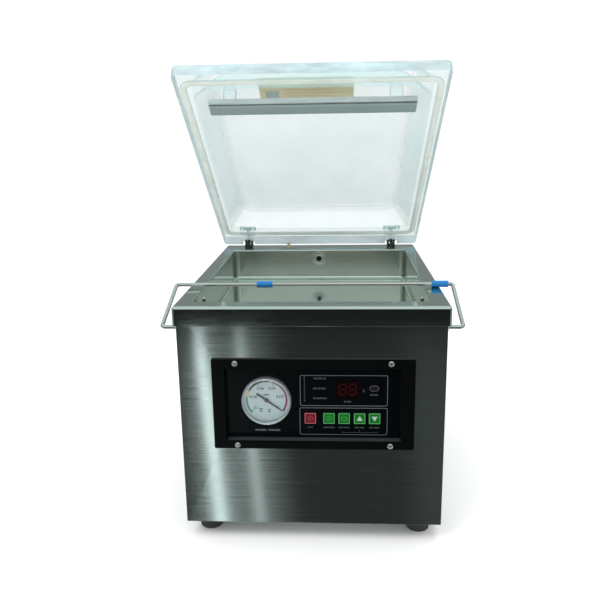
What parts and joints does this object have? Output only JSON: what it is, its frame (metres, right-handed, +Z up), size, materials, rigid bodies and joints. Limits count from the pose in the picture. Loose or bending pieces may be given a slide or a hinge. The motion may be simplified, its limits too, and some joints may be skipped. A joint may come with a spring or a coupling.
{
  "type": "chamber vacuum packing machine",
  "caption": "Table-top chamber vacuum packing machine: steel cabinet and chamber, clear hinged lid with counter bar, lifting seal bar, wire bail, gauge and keypad.",
  "frame": {"origin": "centre of the footprint, on the table under the feet", "axes": "+X to the right of someone facing the control panel, +Y to the back, +Z up"},
  "size_m": [0.365, 0.4482, 0.5895],
  "materials": {
    "cabinet_steel": "brushed",
    "tank_steel": "polished",
    "screw_steel": "bright",
    "foot_rubber": "matte",
    "bezel_black": "satin",
    "plate_black": "satin",
    "overlay_film": "gloss",
    "gauge_chrome": "polished",
    "dial_white": "matte",
    "gauge_glass": "clear",
    "needle_black": "satin",
    "clear_tube": "clear",
    "display_red": "gloss",
    "module_grey": "matte",
    "lamp_red": "gloss",
    "board_green": "satin",
    "key_red": "satin",
    "key_green": "satin",
    "bladder_rubber": "matte",
    "bar_aluminium": "satin",
    "heater_alloy": "satin",
    "seal_tape": "woven, coated",
    "hinge_black": "satin",
    "spring_steel": "satin",
    "switch_brass": "satin",
    "plunger_cap": "satin",
    "bush_nylon": "satin",
    "bail_steel": "satin",
    "sleeve_blue": "satin",
    "clip_rubber": "matte",
    "lid_acrylic": "clear, polished",
    "gasket_silicone": "satin",
    "label_paper": "satin",
    "counter_chrome": "polished",
    "pad_silicone": "matte",
    "pump_paint": "satin",
    "motor_paint": "satin",
    "hose_rubber": "matte",
    "valve_aluminium": "satin",
    "transformer_iron": "lacquered",
    "gland_nylon": "satin"
  },
  "bodies": {
    "root": {"base_plate": "cabinet_steel", "front_panel": "cabinet_steel", "side_panel_left": "cabinet_steel", "side_panel_right": "cabinet_steel", "rear_panel": "cabinet_steel", "panel_screws": "screw_steel", "chamber_tank": "tank_steel", "feet": "foot_rubber", "foot_screws": "screw_steel", "control_bezel": "bezel_black", "bezel_screws": "screw_steel", "control_plate": "plate_black", "control_overlay": "overlay_film", "gauge_case": "gauge_chrome", "gauge_dial": "dial_white", "gauge_lens": "gauge_glass", "gauge_tube": "clear_tube", "display_window": "display_red", "display_module": "module_grey", "status_lamp": "lamp_red", "control_board": "board_green", "key_switches": "module_grey", "suction_port": "screw_steel", "guide_posts": "screw_steel", "post_nuts": "screw_steel", "lift_bladder": "bladder_rubber", "bladder_hose": "clear_tube", "hinge_brackets": "hinge_black", "hinge_pins": "screw_steel", "lid_springs": "spring_steel", "spring_seats": "cabinet_steel", "switch_housing": "switch_brass", "bail_bushes": "bush_nylon", "vacuum_pump": "pump_paint", "pump_motor": "motor_paint", "vacuum_hoses": "hose_rubber", "valve_block": "valve_aluminium", "transformer": "transformer_iron", "cable_gland": "gland_nylon"},
    "lid": {"lid_shell": "lid_acrylic", "lid_gasket": "gasket_silicone", "lid_label": "label_paper", "counter_bar": "counter_chrome", "counter_pad": "pad_silicone", "counter_blocks": "lid_acrylic", "hinge_leaves": "screw_steel", "leaf_screws": "hinge_black"},
    "bail": {"bail_wire": "bail_steel", "bail_sleeves": "sleeve_blue", "bail_clips": "clip_rubber"},
    "seal_carriage": {"seal_bar": "bar_aluminium", "heater_strip": "heater_alloy", "seal_cover": "seal_tape"},
    "lid_switch": {"switch_plunger": "plunger_cap"},
    "needle": {"gauge_needle": "needle_black"},
    "key_stop_body": {"key_stop": "key_red"},
    "key_power_body": {"key_power": "key_green"},
    "key_set_body": {"key_set": "key_green"},
    "key_up_body": {"key_up": "key_green"},
    "key_down_body": {"key_down": "key_green"}
  },
  "joints": [
    {"name": "lid_hinge", "type": "hinge", "parent": "root", "child": "lid", "pos_m": [0, 0.206, 0.318], "axis": [1, 0, 0], "range_deg": [0, 37], "stiffness_Nm_per_rad": 5, "springref_deg": -68.75, "deforming": ["lid_springs"]},
    {"name": "bail_swing", "type": "hinge", "parent": "root", "child": "bail", "pos_m": [0, -0.211, 0.2805], "axis": [1, 0, 0], "range_deg": [0, 238]},
    {"name": "switch_press", "type": "slide", "parent": "root", "child": "lid_switch", "axis": [0, 0, -1], "range_m": [0, 0.0078]},
    {"name": "seal_lift", "type": "slide", "parent": "root", "child": "seal_carriage", "axis": [0, 0, 1], "range_m": [0, 0.019]},
    {"name": "needle_turn", "type": "hinge", "parent": "root", "child": "needle", "pos_m": [-0.0555, -0.2118, 0.1866], "axis": [0, -1, 0], "range_deg": [0, 254], "stiffness_Nm_per_rad": 0.0005, "springref_deg": -17.19},
    {"name": "key_stop_press", "type": "slide", "parent": "root", "child": "key_stop_body", "axis": [0, 1, 0], "range_m": [0, 0.0006], "stiffness_N_per_m": 1500, "springref_m": -0.0006},
    {"name": "key_power_press", "type": "slide", "parent": "root", "child": "key_power_body", "axis": [0, 1, 0], "range_m": [0, 0.0006], "stiffness_N_per_m": 1500, "springref_m": -0.0006},
    {"name": "key_set_press", "type": "slide", "parent": "root", "child": "key_set_body", "axis": [0, 1, 0], "range_m": [0, 0.0006], "stiffness_N_per_m": 1500, "springref_m": -0.0006},
    {"name": "key_up_press", "type": "slide", "parent": "root", "child": "key_up_body", "axis": [0, 1, 0], "range_m": [0, 0.0006], "stiffness_N_per_m": 1500, "springref_m": -0.0006},
    {"name": "key_down_press", "type": "slide", "parent": "root", "child": "key_down_body", "axis": [0, 1, 0], "range_m": [0, 0.0006], "stiffness_N_per_m": 1500, "springref_m": -0.0006}
  ],
  "couplings": [
    {"joint": "bail_swing", "follows": "lid_hinge", "ratio": 6.432},
    {"joint": "switch_press", "follows": "lid_hinge", "m_per_rad": 0.012078}
  ]
}
